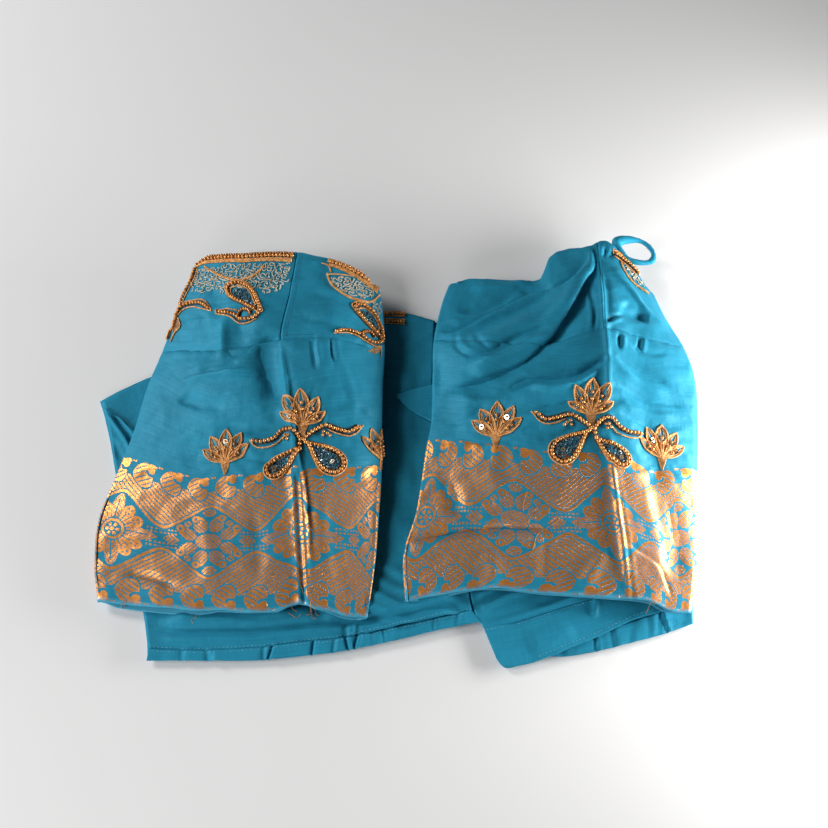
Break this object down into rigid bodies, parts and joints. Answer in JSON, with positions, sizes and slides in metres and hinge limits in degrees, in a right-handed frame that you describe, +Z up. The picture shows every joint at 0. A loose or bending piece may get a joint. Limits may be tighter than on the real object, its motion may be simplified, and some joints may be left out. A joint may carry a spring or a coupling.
{
  "type": "folded blouse",
  "caption": "Short blouse lying folded, its sleeves with woven borders laid side by side over the flat body, with a piped tie loop at the neck.",
  "frame": {"origin": "centre of the bounding box in plan, on the surface the blouse lies on", "axes": "+X across both sleeves to the right one, +Y from the sleeve hems to the neck, +Z up"},
  "size_m": [0.3912, 0.3032, 0.0342],
  "materials": {
    "silk": "satin",
    "silk_light": "satin",
    "brocade_sleeve": "satin"
  },
  "bodies": {
    "root": {"back_panel": "silk", "waistband_back": "silk_light", "front_left": "silk", "waistband_left": "silk_light", "front_right": "silk", "waistband_right": "silk_light", "neck_corner_right": "silk_light", "shoulder_left_front": "silk", "shoulder_left_back": "silk_light", "sleeve_left": "brocade_sleeve", "shoulder_right_front": "silk", "shoulder_right_back": "silk_light", "sleeve_right": "brocade_sleeve", "neck_loop": "silk_light", "hidden_folds_left": "silk", "hidden_folds_right": "silk"}
  },
  "joints": []
}
